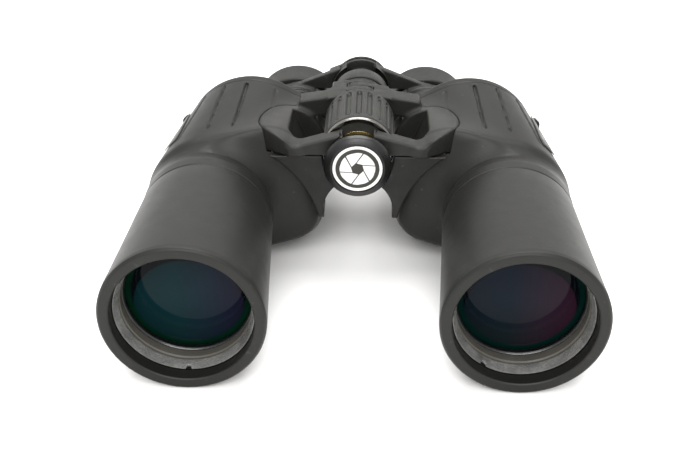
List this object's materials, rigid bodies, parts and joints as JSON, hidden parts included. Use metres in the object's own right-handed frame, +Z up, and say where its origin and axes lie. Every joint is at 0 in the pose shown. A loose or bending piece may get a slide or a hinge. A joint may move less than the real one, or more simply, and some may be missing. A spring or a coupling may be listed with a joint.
{
  "type": "binoculars",
  "caption": "Full-size Porro-prism binoculars with rubber-armoured barrels, a folding centre hinge, a centre focus wheel, twist-up eyecups and a dioptre ring.",
  "frame": {"origin": "on the surface the binoculars rest on, midway between the objective rims and the eyecup rims and under the hinge", "axes": "+Z up from the table; +Y from the objectives to the eyepieces; +X towards the user's left-hand barrel"},
  "size_m": [0.192, 0.18, 0.0724],
  "materials": {
    "armour_rubber": "fine-grained soft black rubber armour",
    "eyecup_rubber": "smooth matt black rubber",
    "wheel_rubber": "satin ribbed rubber over the focus wheel",
    "frame_satin": "cast aluminium in satin black paint",
    "cover_satin": "moulded black plastic, satin",
    "cap_satin": "moulded black plastic, satin",
    "black_anodised": "black anodised aluminium",
    "gloss_black": "glossy black paint with a fine speckle",
    "black_spindle": "polished black anodised thread",
    "steel": "turned steel",
    "spring_steel": "bent spring strip",
    "chrome_trim": "bright plated ring",
    "brass": "turned brass",
    "coated_glass": "coated optical glass, green and violet sheen",
    "clear_glass": "optical glass",
    "emblem_white": "white printed ring under clear lacquer",
    "badge_grey": "thin satin plate with a light stripe"
  },
  "bodies": {
    "hinge": {"front_hinge_barrel": "frame_satin", "hinge_axle": "steel", "brass_washer": "brass", "rear_hinge_sleeve": "frame_satin"},
    "left_half": {"left_objective_tube": "black_anodised", "left_objective_armour": "armour_rubber", "left_retaining_ring": "gloss_black", "left_objective_cell": "black_anodised", "left_objective_crown": "coated_glass", "left_objective_flint": "clear_glass", "left_prism_housing": "frame_satin", "left_armour": "armour_rubber", "left_front_cover": "cover_satin", "left_rear_cover": "cover_satin", "left_strap_lug": "black_anodised", "left_side_badge": "badge_grey", "left_rear_prism": "clear_glass", "left_front_prism": "clear_glass", "left_rear_prism_clip": "spring_steel", "left_front_prism_clip": "spring_steel", "left_prism_shelf": "black_anodised"},
    "right_half": {"right_objective_tube": "black_anodised", "right_objective_armour": "armour_rubber", "right_retaining_ring": "gloss_black", "right_objective_cell": "black_anodised", "right_objective_crown": "coated_glass", "right_objective_flint": "clear_glass", "right_prism_housing": "frame_satin", "right_armour": "armour_rubber", "right_front_cover": "cover_satin", "right_rear_cover": "cover_satin", "right_strap_lug": "black_anodised", "right_side_badge": "badge_grey", "right_rear_prism": "clear_glass", "right_front_prism": "clear_glass", "right_rear_prism_clip": "spring_steel", "right_front_prism_clip": "spring_steel", "right_prism_shelf": "black_anodised"},
    "focus_wheel": {"focus_wheel": "wheel_rubber", "wheel_bead": "chrome_trim"},
    "focus_spindle": {"focus_spindle": "black_spindle", "hub_screw": "black_anodised"},
    "left_eyepiece": {"left_eyepiece_tube": "frame_satin", "left_bridge_arm": "frame_satin", "left_ocular_barrel": "black_anodised", "left_field_lens": "clear_glass", "left_eye_lens": "coated_glass"},
    "right_eyepiece": {"right_eyepiece_tube": "frame_satin", "right_bridge_arm": "frame_satin"},
    "dioptre_ring": {"dioptre_ring": "frame_satin"},
    "right_ocular": {"right_ocular_barrel": "black_anodised", "right_field_lens": "clear_glass", "right_eye_lens": "coated_glass"},
    "left_eyecup_guide": {"left_eyecup_guide": "black_anodised"},
    "right_eyecup_guide": {"right_eyecup_guide": "black_anodised"},
    "left_eyecup": {"left_eyecup": "eyecup_rubber"},
    "right_eyecup": {"right_eyecup": "eyecup_rubber"},
    "cap_stud": {"cap_stud": "brass"},
    "tripod_cap": {"tripod_cap": "cap_satin", "cap_emblem": "emblem_white"}
  },
  "joints": [
    {"name": "left_fold", "type": "hinge", "parent": "hinge", "child": "left_half", "pos_m": [0, 0, 0.057], "axis": [0, -1, 0], "range_deg": [-8, 23]},
    {"name": "right_fold", "type": "hinge", "parent": "hinge", "child": "right_half", "pos_m": [0, 0, 0.057], "axis": [0, 1, 0], "range_deg": [-8, 23]},
    {"name": "focus_turn", "type": "hinge", "parent": "hinge", "child": "focus_wheel", "pos_m": [0, 0, 0.057], "axis": [0, 1, 0], "range_deg": [-205, 205]},
    {"name": "spindle_slide", "type": "slide", "parent": "hinge", "child": "focus_spindle", "axis": [0, 1, 0], "range_m": [-0.0035, 0.0035]},
    {"name": "left_focus_slide", "type": "slide", "parent": "left_half", "child": "left_eyepiece", "axis": [0, 1, 0], "range_m": [-0.0035, 0.0035]},
    {"name": "right_focus_slide", "type": "slide", "parent": "right_half", "child": "right_eyepiece", "axis": [0, 1, 0], "range_m": [-0.0035, 0.0035]},
    {"name": "dioptre_turn", "type": "hinge", "parent": "right_eyepiece", "child": "dioptre_ring", "pos_m": [-0.031, 0, 0.038], "axis": [0, 1, 0], "range_deg": [-45, 45]},
    {"name": "dioptre_slide", "type": "slide", "parent": "right_eyepiece", "child": "right_ocular", "axis": [0, 1, 0], "range_m": [-0.0012, 0.0012]},
    {"name": "left_eyecup_turn", "type": "hinge", "parent": "left_eyecup_guide", "child": "left_eyecup", "pos_m": [0.031, 0, 0.038], "axis": [0, 1, 0], "range_deg": [0, 100]},
    {"name": "left_eyecup_slide", "type": "slide", "parent": "left_eyepiece", "child": "left_eyecup_guide", "axis": [0, 1, 0], "range_m": [0, 0.007]},
    {"name": "right_eyecup_turn", "type": "hinge", "parent": "right_eyecup_guide", "child": "right_eyecup", "pos_m": [-0.031, 0, 0.038], "axis": [0, 1, 0], "range_deg": [0, 100]},
    {"name": "right_eyecup_slide", "type": "slide", "parent": "right_ocular", "child": "right_eyecup_guide", "axis": [0, 1, 0], "range_m": [0, 0.007]},
    {"name": "cap_turn", "type": "hinge", "parent": "cap_stud", "child": "tripod_cap", "pos_m": [0, 0, 0.057], "axis": [0, -1, 0], "range_deg": [0, 1800]},
    {"name": "cap_slide", "type": "slide", "parent": "hinge", "child": "cap_stud", "axis": [0, -1, 0], "range_m": [0, 0.0064]}
  ],
  "couplings": [
    {"joint": "right_fold", "follows": "left_fold", "ratio": 1},
    {"joint": "spindle_slide", "follows": "focus_turn", "m_per_rad": 0.00095},
    {"joint": "left_focus_slide", "follows": "focus_turn", "m_per_rad": 0.00095},
    {"joint": "right_focus_slide", "follows": "focus_turn", "m_per_rad": 0.00095},
    {"joint": "dioptre_slide", "follows": "dioptre_turn", "m_per_rad": 0.0015},
    {"joint": "left_eyecup_slide", "follows": "left_eyecup_turn", "m_per_rad": 0.004},
    {"joint": "right_eyecup_slide", "follows": "right_eyecup_turn", "m_per_rad": 0.004},
    {"joint": "cap_slide", "follows": "cap_turn", "m_per_rad": 0.0002}
  ]
}
